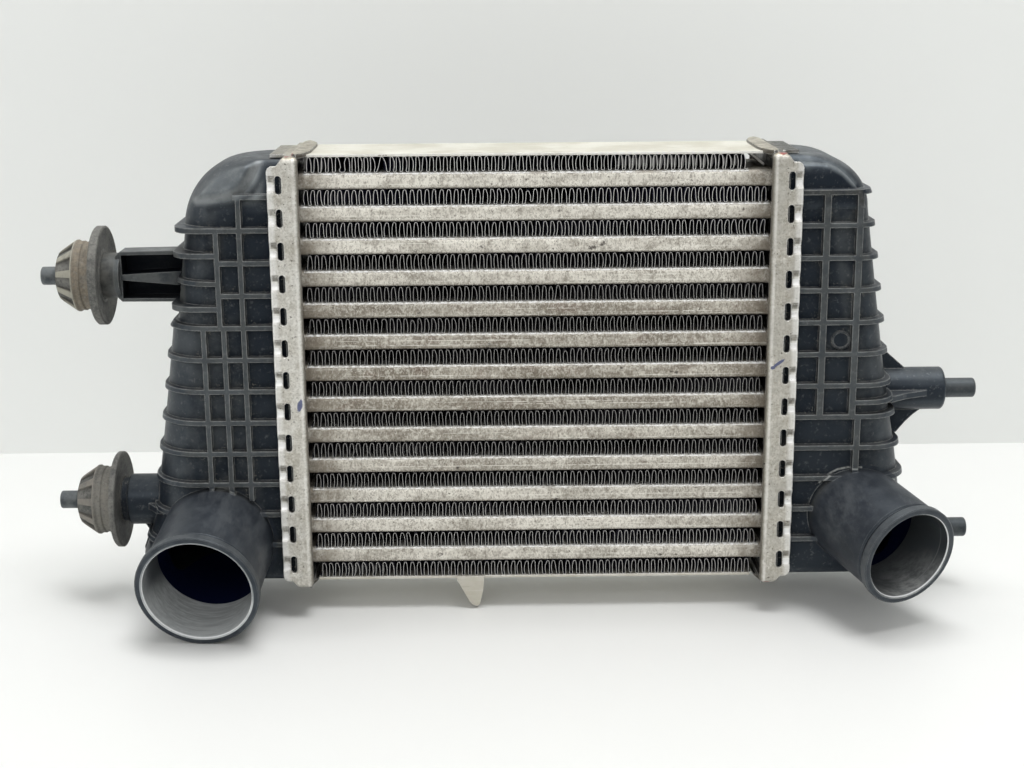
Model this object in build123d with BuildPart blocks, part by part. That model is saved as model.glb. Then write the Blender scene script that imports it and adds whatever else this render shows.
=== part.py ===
from build123d import *
import os
from math import sin, cos, radians, sqrt

# Charge-air cooler for a car: a brazed aluminium core of flat tubes and
# corrugated fins, a crimped header plate at each end, and two moulded plastic
# end tanks with hose ports, locating pins and rubber bushes.
# Millimetres. +X to the right, +Y to the back, +Z up. The core's tubes run
# along X and are stacked along Z.

# ---------------------------------------------------------------- placement
core_x = 10.05            # X of the core's middle
core_y = -2.921           # Y of the tubes' front faces
core_z = 218.624          # Z of the top face of the first tube

# --------------------------------------------------------------------- core
tube_count = 13
tube_pitch = 15.5
tube_height = 8.0
tube_wall = 0.5
tube_nose = 2.6
core_depth = 48.0
fin_height = tube_pitch - tube_height
fin_gauge = 0.25
fin_pitch = 3.36
plate_gauge = 1.2
mid_y = core_depth / 2
stack_bottom = -(tube_count - 1) * tube_pitch - tube_height

# ------------------------------------------------------------- header plates
header_in = 110.0         # inner face, from the core's middle
header_out = 124.4        # free edge of the crimped skirt
header_gauge = 1.5
header_recess = 2.0       # the face between the bends lies further out
header_seat = header_in + header_recess + header_gauge   # the trough's floor
header_front = -12.5
header_back = core_depth + 12.5
header_top = fin_height + plate_gauge
header_bottom = stack_bottom - header_top
slot_x = 119.1
slot_width = 3.0
slot_length = 8.6
crimp_depth = 1.3

# --------------------------------------------------------------------- tanks
gasket_gauge = 1.5
foot_top = 118.6          # how far the tank's foot reaches inside the trough
wall = 3.0
wall_front = -6.2
wall_back = core_depth + 6.2
rib_front = -9.5
rib_back = core_depth + 9.5
rib_gauge = 2.4
tank_bottom = stack_bottom - 6.8
pin_y = mid_y


def plan(z):
    """Horizontal plane; local x, y are the core's X, Y."""
    return Plane(origin=(core_x, core_y, core_z + z))


def side(x):
    """Plane square to X; local x, y are the core's Y, Z, and it faces +X."""
    return Plane(origin=(core_x + x, core_y, core_z), x_dir=(0, 1, 0), z_dir=(1, 0, 0))


def face(y):
    """Plane square to Y; local x, y are the core's X, Z, and it faces -Y."""
    return Plane(origin=(core_x, core_y + y, core_z), x_dir=(1, 0, 0), z_dir=(0, -1, 0))


def spot(x, y, z):
    return Vector(core_x + x, core_y + y, core_z + z)


def ribbon(points, gauge):
    """Closed outline of a bent strip of even gauge along an open path."""
    up, down = [], []
    for i, (x, y) in enumerate(points):
        dirs = []
        if i > 0:
            dx, dy = x - points[i - 1][0], y - points[i - 1][1]
            n = sqrt(dx * dx + dy * dy)
            dirs.append((dx / n, dy / n))
        if i < len(points) - 1:
            dx, dy = points[i + 1][0] - x, points[i + 1][1] - y
            n = sqrt(dx * dx + dy * dy)
            dirs.append((dx / n, dy / n))
        nx = -sum(d[1] for d in dirs)
        ny = sum(d[0] for d in dirs)
        n = sqrt(nx * nx + ny * ny)
        nx, ny = nx / n, ny / n
        k = gauge / 2 / (nx * -dirs[0][1] + ny * dirs[0][0])
        up.append((x + nx * k, y + ny * k))
        down.append((x - nx * k, y - ny * k))
    return up + down[::-1]


def wave(start, end, pitch, low, high, crest, gauge):
    """Path of a corrugated strip with flat crests of the given length."""
    count = round((end - start) / pitch)
    step = (end - start) / count
    lo, hi = low + gauge / 2, high - gauge / 2
    path = []
    for i in range(count):
        x = start + i * step
        path.append((x + step * 0.25 - crest / 2, lo))
        path.append((x + step * 0.25 + crest / 2, lo))
        path.append((x + step * 0.75 - crest / 2, hi))
        path.append((x + step * 0.75 + crest / 2, hi))
    return path


os.makedirs("parts", exist_ok=True)

# ---------------------------------------------------------------- flat tubes
for i in range(tube_count):
    z = -tube_height / 2 - i * tube_pitch
    with BuildPart() as charge_tube:
        with BuildSketch(side(-114.9)):
            with Locations((mid_y, z)):
                RectangleRounded(core_depth, tube_height, tube_nose)
                RectangleRounded(core_depth - 2 * tube_wall, tube_height - 2 * tube_wall,
                                 tube_nose - tube_wall, mode=Mode.SUBTRACT)
        extrude(amount=229.8)
    charge_tube.part.label = f"charge_tube_{i + 1:02d}"
    export_step(charge_tube.part, f"parts/charge_tube_{i + 1:02d}.step")

    # the corrugated strip brazed inside the tube
    with BuildPart() as tube_turbulator:
        with BuildSketch(side(-110.0)):
            with BuildLine():
                Polyline(*ribbon(wave(3.0, core_depth - 3.0, 4.45, z - tube_height / 2 + tube_wall,
                                      z + tube_height / 2 - tube_wall, 1.2, 0.2), 0.2), close=True)
            make_face()
        extrude(amount=220.0)
    tube_turbulator.part.label = f"tube_turbulator_{i + 1:02d}"
    export_step(tube_turbulator.part, f"parts/tube_turbulator_{i + 1:02d}.step")

# --------------------------------------------------------------- cooling fins
for i in range(tube_count + 1):
    low = -i * tube_pitch
    start, end = {0: (-106.6, 99.4), tube_count: (-108.4, 108.4)}.get(i, (-110.4, 110.4))
    with BuildPart() as cooling_fin:
        with BuildSketch(face(core_depth - 0.3)):
            with BuildLine():
                Polyline(*ribbon(wave(start, end, fin_pitch, low, low + fin_height, 0.9, fin_gauge),
                                 fin_gauge), close=True)
            make_face()
        extrude(amount=core_depth - 0.6)
    cooling_fin.part.label = f"cooling_fin_{i + 1:02d}"
    export_step(cooling_fin.part, f"parts/cooling_fin_{i + 1:02d}.step")

# ---------------------------------------------------------------- side plates
with BuildPart() as top_side_plate:
    with BuildSketch(face(core_depth)):
        with Locations((0, fin_height + plate_gauge / 2)):
            Rectangle(2 * header_in - 0.4, plate_gauge)
    extrude(amount=core_depth)
    # end tongues bent down to the header plates
    with BuildSketch(face(core_depth - 8)):
        with BuildLine():
            Polyline((100.3, 7.8), (102.0, 7.8), (109.5, 1.9), (108.8, 0.9), close=True)
        make_face()
        with BuildLine():
            Polyline((-107.3, 7.8), (-108.6, 7.8), (-109.6, 0.8), (-108.4, 0.8), close=True)
        make_face()
    extrude(amount=core_depth - 16)
top_side_plate.part.label = "top_side_plate"
export_step(top_side_plate.part, "parts/top_side_plate.step")

low = stack_bottom - fin_height
with BuildPart() as bottom_side_plate:
    with BuildSketch(face(core_depth)):
        with Locations((-0.8, low - plate_gauge / 2)):
            Rectangle(215.4, plate_gauge)
    extrude(amount=core_depth)
    # tapered tab folded down over the front edge
    with BuildSketch(face(0)):
        with BuildLine():
            Polyline((-39.6, low), (-39.6, low - 1.8), (-33.5, low - 13.4), (-31.6, low - 15.2),
                     (-29.6, low - 15.7), (-28.3, low - 14.6), (-26.6, low - 7.2), (-26.1, low), close=True)
        make_face()
    extrude(amount=1.3)
    tab_edges = bottom_side_plate.edges().filter_by(Axis.Y).filter_by_position(
        Axis.Z, core_z + low - 16, core_z + low - 12)
    fillet(tab_edges, 0.6)
bottom_side_plate.part.label = "bottom_side_plate"
export_step(bottom_side_plate.part, "parts/bottom_side_plate.step")

# ------------------------------------------------------------- header plates
trough_mid = (header_top + header_bottom) / 2
trough_half = (header_top - header_bottom) / 2
trough_depth = header_back - header_front

# end of a skirt: stepped and bevelled down to the crimped strip
skirt_end = [(116.6, 1.0), (116.6, 0.0), (119.9, -4.0), (122.4, -4.0), (123.8, -4.9),
             (124.4, -6.6), (126.0, -6.6), (126.0, 1.0)]

for s, hand in ((-1, "left"), (1, "right")):
    with BuildPart() as header_plate:
        # pressed trough
        with BuildSketch(side(s * header_in)):
            with Locations((mid_y, trough_mid)):
                RectangleRounded(trough_depth, 2 * trough_half, 3.0)
        extrude(amount=s * (header_out - header_in))
        base = header_plate.faces().sort_by(Axis.X)[-1 if s < 0 else 0]
        fillet(base.edges(), 2.4)
        with BuildSketch(side(s * header_seat)):
            with Locations((mid_y, trough_mid)):
                RectangleRounded(trough_depth - 2 * header_gauge, 2 * trough_half - 2 * header_gauge, 1.6)
        extrude(amount=s * 20, mode=Mode.SUBTRACT)
        # recessed face between the bends
        with BuildSketch(side(s * (header_in - 1))):
            with Locations((mid_y, trough_mid)):
                RectangleRounded(trough_depth - 5.4, 2 * trough_half - 5.4, 2.0)
        extrude(amount=s * (1 + header_recess), mode=Mode.SUBTRACT)
        # corner notches at both ends of the front and back skirts
        for y in (header_front - 1, header_back - 15):
            with BuildSketch(face(y + 16)):
                for m in (1, -1):
                    with BuildLine():
                        Polyline(*[(s * px, trough_mid + m * (trough_half + pz)) for px, pz in skirt_end],
                                 close=True)
                    make_face()
            extrude(amount=16.0, mode=Mode.SUBTRACT)
        # collars round the tube holes, on the tank side
        with BuildSketch(side(s * header_seat)):
            for i in range(tube_count):
                with Locations((mid_y, -tube_height / 2 - i * tube_pitch)):
                    RectangleRounded(core_depth + 2.2, tube_height + 2.2, tube_nose + 1.1)
        extrude(amount=s * 1.1)
        with BuildSketch(side(s * (header_in - 1))):
            for i in range(tube_count):
                with Locations((mid_y, -tube_height / 2 - i * tube_pitch)):
                    RectangleRounded(core_depth, tube_height, tube_nose)
        extrude(amount=s * 6.0, mode=Mode.SUBTRACT)
        # crimp slots through both skirts, and the room for the strips they free
        for y in (header_front + 2, header_back + 0.5):
            with BuildSketch(face(y)):
                for i in range(tube_count):
                    z = -tube_height / 2 - i * tube_pitch
                    with Locations((s * slot_x, z)):
                        SlotOverall(slot_length, slot_width, rotation=90)
                    with Locations((s * (slot_x + slot_width / 2 + 3.3), z)):
                        Rectangle(6.0, slot_length - 1.4)
            extrude(amount=2.5, mode=Mode.SUBTRACT)
        # the crimped strips, bent in over the tank's foot
        h = slot_length / 2 - 0.7
        with BuildSketch(side(s * (slot_x + slot_width / 2 + 0.3))):
            for i in range(tube_count):
                z = -tube_height / 2 - i * tube_pitch
                for y, d in ((header_front, 1), (header_back, -1)):
                    with BuildLine():
                        ThreePointArc((y, z - h), (y + d * crimp_depth, z), (y, z + h))
                        Line((y, z + h), (y + d * header_gauge, z + h))
                        ThreePointArc((y + d * header_gauge, z + h),
                                      (y + d * (header_gauge + crimp_depth), z),
                                      (y + d * header_gauge, z - h))
                        Line((y + d * header_gauge, z - h), (y, z - h))
                    make_face()
        extrude(amount=s * (header_out - slot_x - slot_width / 2 - 0.3))
        # pressed ears at both ends; the upper ones lap over the top side plate
        for m, reach in ((1, 105.6), (-1, 108.4)):
            top = trough_mid + m * trough_half
            with BuildSketch(plan(top - m * 1.0)):
                with BuildLine():
                    Polyline((s * 113.8, -2.0), (s * 112.6, -7.6), (s * 110.9, -9.2),
                             (s * (reach + 2.6), -4.6), (s * (reach + 0.8), 2.0), (s * reach, 10.0),
                             (s * reach, core_depth - 10.0), (s * (reach + 0.8), core_depth - 2.0),
                             (s * (reach + 2.6), core_depth + 4.6), (s * 110.9, core_depth + 9.2),
                             (s * 112.6, core_depth + 7.6), (s * 113.8, core_depth + 2.0), close=True)
                make_face()
            extrude(amount=m * 2.3)
            # seat of the ear on the side plate
            with BuildSketch(plan(top - m * 1.0)):
                with Locations((s * 105.0, mid_y)):
                    Rectangle(9.9, core_depth + 0.1)
            extrude(amount=m * 1.0, mode=Mode.SUBTRACT)
            crown = header_plate.faces().sort_by(Axis.Z)[-1 if m > 0 else 0]
            fillet(crown.edges(), 0.7)
    header_plate.part.label = f"{hand}_header_plate"
    export_step(header_plate.part, f"parts/{hand}_header_plate.step")

    with BuildPart() as tank_gasket:
        with BuildSketch(side(s * header_seat)):
            with Locations((mid_y, trough_mid)):
                RectangleRounded(trough_depth - 2 * header_gauge - 0.8, 2 * trough_half - 2 * header_gauge - 0.8, 2.0)
                RectangleRounded(trough_depth - 2 * header_gauge - 11.5, 2 * trough_half - 2 * header_gauge - 9.5,
                                 2.0, mode=Mode.SUBTRACT)
        extrude(amount=s * gasket_gauge)
    tank_gasket.part.label = f"{hand}_tank_gasket"
    export_step(tank_gasket.part, f"parts/{hand}_tank_gasket.step")


# ------------------------------------------------------------------ end tanks
# dome: quarter ellipse in the front view; below it the outer wall leans out
# flank: height, outer wall, plan radius of the outer corners
tank_form = {
    -1: dict(dome_x=138.0, dome_z=-28.0, a=29.6, b=34.6, r_top=18.0,
             flank=[(-28.0, 167.6, 19.0), (-69.5, 173.2, 20.0), (-73.5, 175.9, 20.5), (-110.0, 181.2, 22.0),
                    (-150.0, 187.4, 24.0), (-168.0, 189.6, 24.5), (-180.0, 193.8, 25.0), (-192.0, 198.2, 25.5)]),
    1: dict(dome_x=130.0, dome_z=-18.0, a=28.2, b=25.0, r_top=8.0,
            flank=[(-18.0, 158.2, 10.5), (-60.0, 164.4, 12.0), (-100.0, 170.7, 14.0),
                   (-140.0, 178.4, 16.5), (-190.0, 186.2, 19.0)]),
}


def tank_spans(s, grow):
    """Stacks of horizontal sections for a tank grown outwards by grow.
    A section is z, x_in, x_out, y0, y1, corner radius."""
    f = tank_form[s]
    x_in = 117.0 if grow >= 0 else 111.0
    front = -3.3 if grow > 0 else -grow
    spans = []
    dome = []
    for k in range(7):
        t = radians(15 * k)
        x = f["dome_x"] + (f["a"] + grow) * cos(t)
        inset = 8.0 * (1 - cos(t)) + front
        r = f["r_top"] + (f["flank"][0][2] - f["r_top"]) * cos(t) + grow * 0.5
        dome.append((f["dome_z"] + (f["b"] + grow) * sin(t), x_in, x,
                     wall_front + inset, wall_back - inset, r))
    spans.append((False, dome))
    flank = [(z, x_in, x + grow, wall_front + front, wall_back - front, r + grow * 0.5) for z, x, r in f["flank"]]
    for lower, upper in zip(flank[1:], flank):
        spans.append((True, [upper, lower]))
    z, x, r = f["flank"][-1]
    bottom = []
    for k in range(4):
        t = radians(30 * k)
        inset = 4.0 * (1 - cos(t)) + front
        bottom.append((z - (z - tank_bottom + grow) * sin(t), x_in, x + grow - 10.0 * (1 - cos(t)),
                       wall_front + inset, wall_back - inset, r + grow * 0.5 - 3.0 * (1 - cos(t))))
    spans.append((False, bottom))
    return spans


# ribs: height, nearest and furthest distance from the core's middle
level = [-10.0 - 15.52 * i for i in range(12)]
rib_levels = {
    -1: [(level[0], 117, 141.0), (level[1], 117, 210), (level[2], 117, 151),
         (-50.7, 150.2, 210), (level[3], 117, 151)]
        + [(level[i], 117, 210) for i in range(4, 12)],
    1: [(level[i], 117, 210) for i in range(12)] + [(-111.6, 152, 210)],
}
# upright ribs: distance from the core's middle, top, bottom, gauge
rib_uprights = {
    -1: [(138.7, -9, -158, 2.4), (149.7, -24.5, -73, 2.4), (148.1, -72, -160, 2.4), (157.8, -72, -160, 2.4)],
    1: [(136.8, -9, -119, 3.2), (152.4, -9, -119, 3.2), (155.3, -118, -160, 3.0)],
}

# hose ports: mouth centre, heading towards the right of -Y, dip, bore radius
ports = {
    -1: dict(mouth=(-160.6, -48.0, -189.8), heading=-4.5, dip=12.4, bore=26.0, body=27.8, lip=29.6),
    1: dict(mouth=(175.7, -42.0, -178.4), heading=23.8, dip=11.3, bore=22.0, body=24.2, lip=25.4),
}
port_reach = 62.0         # mouth to the middle of the port's round inner end
port_step = 28.5          # mouth to where the bore opens out

pin_z = {"upper_left": -51.8, "lower_left": -167.0, "upper_right": -113.1, "lower_right": -187.0}
pin_left = 9.0
pin_right = 9.8
flange_face = {"upper_left": -210.3, "lower_left": -208.0}   # X of each rubber flange's inner face

for s, hand in ((-1, "left"), (1, "right")):
    bodies = {}
    for name, grow in (("shell", 0.0), ("cavity", -wall), ("envelope", 1.2 if s < 0 else 2.3)):
        with BuildPart() as body:
            for ruled, sections in tank_spans(s, grow):
                for z, x_in, x_out, y0, y1, r in sections:
                    c = r * (1 - sqrt(0.5))
                    with BuildSketch(plan(z)):
                        with BuildLine():
                            Line((s * x_in, y0), (s * (x_out - r), y0))
                            ThreePointArc((s * (x_out - r), y0), (s * (x_out - c), y0 + c), (s * x_out, y0 + r))
                            Line((s * x_out, y0 + r), (s * x_out, y1 - r))
                            ThreePointArc((s * x_out, y1 - r), (s * (x_out - c), y1 - c), (s * (x_out - r), y1))
                            Line((s * (x_out - r), y1), (s * x_in, y1))
                            Line((s * x_in, y1), (s * x_in, y0))
                        make_face()
                loft(ruled=ruled)
        bodies[name] = body.part

    # the lattice of ribs, trimmed to the grown form of the tank
    with BuildPart() as ribs:
        for z, near, far in rib_levels[s]:
            with BuildSketch(plan(z - rib_gauge / 2)):
                with Locations((s * (near + far) / 2, mid_y)):
                    Rectangle(far - near, 100)
            extrude(amount=rib_gauge)
        for x, top, low, gauge in rib_uprights[s]:
            with BuildSketch(face(80)):
                with Locations((s * x, (top + low) / 2)):
                    Rectangle(gauge, top - low)
            extrude(amount=110)
        # parting rib down the outer end
        top = -72 if s < 0 else -10
        with BuildSketch(face(mid_y + 1.4)):
            with Locations((s * 180, (top - 196) / 2)):
                Rectangle(50, top + 196)
        extrude(amount=2.8)
        add(bodies["envelope"], mode=Mode.INTERSECT)

    port = ports[s]
    h, d = radians(port["heading"]), radians(port["dip"])
    inward = Vector(-sin(h) * cos(d), cos(h) * cos(d), sin(d))
    across = Vector(cos(h), sin(h), 0)
    mouth = spot(*port["mouth"])
    cut_plane = Plane(origin=mouth, x_dir=across, z_dir=across.cross(inward))
    run = Axis(mouth, inward)
    bore, barrel, lip = port["bore"], port["body"], port["lip"]

    with BuildPart() as tank:
        add(bodies["shell"])
        add(ribs.part)
        # foot, held in the header plate's trough
        with BuildSketch(side(s * (header_seat + gasket_gauge))):
            with Locations((mid_y, trough_mid)):
                RectangleRounded(trough_depth - 2 * header_gauge - 0.2,
                                 2 * trough_half - 2 * header_gauge - 0.2, 1.5)
        extrude(amount=s * (foot_top - header_seat - gasket_gauge))
        # hose port: beaded lip, groove, barrel and its round inner end
        with BuildSketch(cut_plane):
            with BuildLine():
                Polyline((0, 0), (lip - 0.4, 0), (lip, 0.4), (lip, 3.8), (lip - 0.6, 4.6), (barrel - 0.8, 5.4),
                         (barrel - 0.8, 6.8), (barrel, 7.6), (barrel, port_reach))
                ThreePointArc((barrel, port_reach), (barrel * sqrt(0.5), port_reach + barrel * sqrt(0.5)),
                              (0, port_reach + barrel))
                Line((0, port_reach + barrel), (0, 0))
            make_face()
        revolve(axis=run)

        if s < 0:
            # hollow arm that carries the upper pin
            with BuildSketch(face(pin_y + 6.5)):
                with BuildLine():
                    Polyline((-160, -37.4), (-168, -38.8), (-201.2, -39.3), (-203.4, -41.4), (-203.4, -61.6),
                             (-201.2, -63.8), (-172, -64.0), (-160, -65.6), close=True)
                make_face()
            extrude(amount=13)
            with BuildSketch(face(pin_y + 4.7)):
                with BuildLine():
                    Polyline((-169.0, -40.7), (-200.7, -41.0), (-200.5, -50.5), (-169.0, -48.8), close=True)
                make_face()
                with BuildLine():
                    Polyline((-169.0, -56.2), (-200.5, -53.3), (-200.7, -62.2), (-169.0, -62.4), close=True)
                make_face()
            extrude(amount=20, mode=Mode.SUBTRACT)
            # three ledges with square corners, above and below the arm
            for z, x in ((level[1], -170.8), (-37.4, -172.0), (-62.8, -174.2)):
                with BuildSketch(plan(z - 1.3)):
                    with Locations(((x - 130.0) / 2, mid_y)):
                        RectangleRounded(-130.0 - x, rib_back - rib_front, 13)
                    # they end at the first upright rib
                    with Locations(((x - 148.9) / 2 - 5, mid_y)):
                        Rectangle(-148.9 - x + 10, 100, mode=Mode.INTERSECT)
                extrude(amount=2.6)
            # lower boss with its web
            with BuildSketch(side(-182)):
                with Locations((pin_y, pin_z["lower_left"])):
                    Circle(12.8)
            extrude(amount=-(204.6 - 182))
            fillet(tank.faces().sort_by(Axis.X)[0].edges(), 0.8)
            with BuildSketch(plan(pin_z["lower_left"] - 1.6)):
                with BuildLine():
                    Polyline((-176, mid_y - 22), (-188, mid_y - 20), (-194, mid_y - 12), (-194, mid_y + 12),
                             (-188, mid_y + 20), (-176, mid_y + 22), close=True)
                make_face()
            extrude(amount=3.2)
            with BuildSketch(face(pin_y + 1.5)):
                with BuildLine():
                    Polyline((-188, -174), (-199.0, -178.6), (-195.5, -184.5), (-188, -187), close=True)
                make_face()
            extrude(amount=3.0)
            # necks and pins
            for key, start in (("lower_left", -200.0), ("upper_left", -201.5)):
                end = flange_face[key]
                with BuildSketch(side(start)):
                    with Locations((pin_y, pin_z[key])):
                        Circle(11.0)
                extrude(amount=end - start)
                with BuildSketch(side(end)):
                    with Locations((pin_y, pin_z[key])):
                        Circle(pin_left / 2)
                extrude(amount=-(30.7 if key == "upper_left" else 32.2))
                fillet(tank.faces().sort_by(Axis.X)[0].edges(), 0.9)
        else:
            # upper boss with gussets above, below and on both sides
            with BuildSketch(side(166)):
                with Locations((pin_y, pin_z["upper_right"])):
                    Circle(10.7)
            extrude(amount=204.4 - 166)
            fillet(tank.faces().sort_by(Axis.X)[-1].edges(), 1.6)
            with BuildSketch(face(pin_y + 1.7)):
                with BuildLine():
                    Polyline((168, -87), (174.2, -92.6), (186.4, -103.2), (168, -106), close=True)
                make_face()
                with BuildLine():
                    Polyline((194, -123.6), (190.4, -126.4), (186.6, -130.2), (182.4, -135.4), (168, -140),
                             (168, -120), close=True)
                make_face()
            extrude(amount=3.4)
            with BuildSketch(plan(pin_z["upper_right"] - 1.5)):
                with BuildLine():
                    Polyline((164, mid_y - 25), (174, mid_y - 23), (183, mid_y - 16), (198, mid_y - 9),
                             (198, mid_y + 9), (183, mid_y + 16), (174, mid_y + 23), (164, mid_y + 25), close=True)
                make_face()
            extrude(amount=3.0)
            # lower boss
            with BuildSketch(side(178)):
                with Locations((pin_y, pin_z["lower_right"])):
                    Circle(10.2)
            extrude(amount=197.0 - 178)
            for key, start, end in (("lower_right", 196.0, 220.8), ("upper_right", 202.0, 220.9)):
                with BuildSketch(side(start)):
                    with Locations((pin_y, pin_z[key])):
                        Circle(pin_right / 2)
                extrude(amount=end - start)
                fillet(tank.faces().sort_by(Axis.X)[-1].edges(), 1.2)
            # plain raised ring moulded on the front wall
            with BuildSketch(face(wall_front + 0.5)):
                with Locations((146.2, -81.2)):
                    Circle(4.5)
                    Circle(3.7, mode=Mode.SUBTRACT)
            extrude(amount=1.1)

        # hollow inside, open to the core through the foot
        add(bodies["cavity"], mode=Mode.SUBTRACT)
        with BuildSketch(cut_plane):
            with BuildLine():
                Polyline((0, -2), (bore + 0.5, -2), (bore + 0.5, 0), (bore, 0.7), (bore, port_step),
                         (bore + 0.9, port_step + 0.8), (bore + 0.9, port_reach))
                ThreePointArc((bore + 0.9, port_reach),
                              ((bore + 0.9) * sqrt(0.5), port_reach + (bore + 0.9) * sqrt(0.5)),
                              (0, port_reach + bore + 0.9))
                Line((0, port_reach + bore + 0.9), (0, -2))
            make_face()
        revolve(axis=run, mode=Mode.SUBTRACT)
    tank.part.label = f"{hand}_tank"
    export_step(tank.part, f"parts/{hand}_tank.step")
    print(hand, "tank", tank.part.is_valid, len(tank.part.solids()), round(tank.part.volume),
          tank.part.bounding_box())

# --------------------------------------------------------------- rubber bushes
# half section: distance outwards from the flange's inner face, radius; the
# upper flange is dished towards the tank
for key, name, dish in (("upper_left", "upper_rubber_mount", 1.2), ("lower_left", "lower_rubber_mount", 0.0)):
    bush_half = [(0, pin_left / 2), (0, 11.6), (0.5, 13.0), (0.4 - dish * 0.3, 19.5), (0.1 - dish, 23.2),
                 (0.5 - dish, 24.2), (2.6, 24.2), (3.2, 23.6), (3.6, 18.2), (4.8, 17.2), (7.4, 16.6),
                 (8.6, 16.3), (9.2, 17.0), (11.0, 16.9), (12.2, 17.6), (13.0, 17.5), (19.8, 12.9),
                 (21.2, 11.7), (22.0, 9.6), (22.0, pin_left / 2)]
    root = spot(flange_face[key], pin_y, pin_z[key])
    with BuildPart() as rubber_mount:
        with BuildSketch(Plane(origin=root, x_dir=(-1, 0, 0), z_dir=(0, 1, 0))):
            with BuildLine():
                Polyline(*bush_half, close=True)
            make_face()
        revolve(axis=Axis(root, (1, 0, 0)))
        # wide flutes that leave ten ribs along the cone
        for i in range(10):
            t = radians(36 * i + 30)
            with BuildSketch(Plane(origin=root, x_dir=(-1, 0, 0), z_dir=(0, sin(t), -cos(t)))):
                with BuildLine():
                    Polyline((13.1, 19.0), (23.0, 12.6), (21.3, 10.9), (13.1, 14.7), close=True)
                make_face()
            revolve(axis=Axis(root, (1, 0, 0)), revolution_arc=23, mode=Mode.SUBTRACT)
    rubber_mount.part.label = name
    export_step(rubber_mount.part, f"parts/{name}.step")
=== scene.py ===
import math
import random

import bmesh
import bpy
from mathutils import Matrix, Vector
from mathutils.bvhtree import BVHTree


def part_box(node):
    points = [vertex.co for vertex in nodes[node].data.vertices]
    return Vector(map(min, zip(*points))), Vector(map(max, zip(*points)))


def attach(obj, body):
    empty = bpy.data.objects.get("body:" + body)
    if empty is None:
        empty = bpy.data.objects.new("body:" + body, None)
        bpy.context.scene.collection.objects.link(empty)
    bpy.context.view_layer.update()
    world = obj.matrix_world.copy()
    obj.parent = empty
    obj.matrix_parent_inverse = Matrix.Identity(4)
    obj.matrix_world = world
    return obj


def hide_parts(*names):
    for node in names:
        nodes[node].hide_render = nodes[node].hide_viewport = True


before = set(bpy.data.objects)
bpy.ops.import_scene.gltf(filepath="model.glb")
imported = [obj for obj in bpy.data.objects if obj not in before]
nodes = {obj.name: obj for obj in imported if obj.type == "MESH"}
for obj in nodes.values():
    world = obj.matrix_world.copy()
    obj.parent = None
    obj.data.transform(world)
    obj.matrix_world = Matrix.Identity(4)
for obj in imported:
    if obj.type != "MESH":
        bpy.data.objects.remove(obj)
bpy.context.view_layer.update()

# ------------------------------------------------------------------ reference
# core coordinates, in mm: X 0 in the middle of the core, Y 0 at the tubes'
# front faces, Z 0 on top of the first tube
t_low, t_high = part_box("charge_tube_01")
CX = (t_low.x + t_high.x) / 2 * 1000
CY = t_low.y * 1000
CZ = t_high.z * 1000
PITCH, TUBE_H, DEPTH, FIN_H, FIN_PITCH = 15.5, 8.0, 48.0, 7.5, 3.36


def at(x, y, z):
    return Vector(((CX + x) / 1000, (CY + y) / 1000, (CZ + z) / 1000))


# --------------------------------------------------------------------- camera
def make_camera():
    pitch, yaw, roll = math.radians(14.2134), math.radians(0.6682), math.radians(0.42449)
    fwd = Vector((math.sin(yaw) * math.cos(pitch), math.cos(yaw) * math.cos(pitch), -math.sin(pitch)))
    right = Vector((math.cos(yaw), -math.sin(yaw), 0))
    down = fwd.cross(right)
    r2 = right * math.cos(roll) + down * math.sin(roll)
    d2 = down * math.cos(roll) - right * math.sin(roll)
    data = bpy.data.cameras.new("camera")
    data.sensor_width = 36
    data.lens = 56.25
    data.clip_end = 20
    cam = bpy.data.objects.new("camera", data)
    bpy.context.scene.collection.objects.link(cam)
    place = Matrix((r2, -d2, -fwd)).transposed().to_4x4()
    place.translation = at(-20.259, -752.467, 87.727)
    cam.matrix_world = place
    bpy.context.scene.camera = cam


make_camera()
bpy.context.scene.view_settings.view_transform = "Standard"


def smooth(v, a, b):
    t = max(0.0, min(1.0, (v - a) / (b - a)))
    return t * t * (3 - 2 * t)


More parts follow.
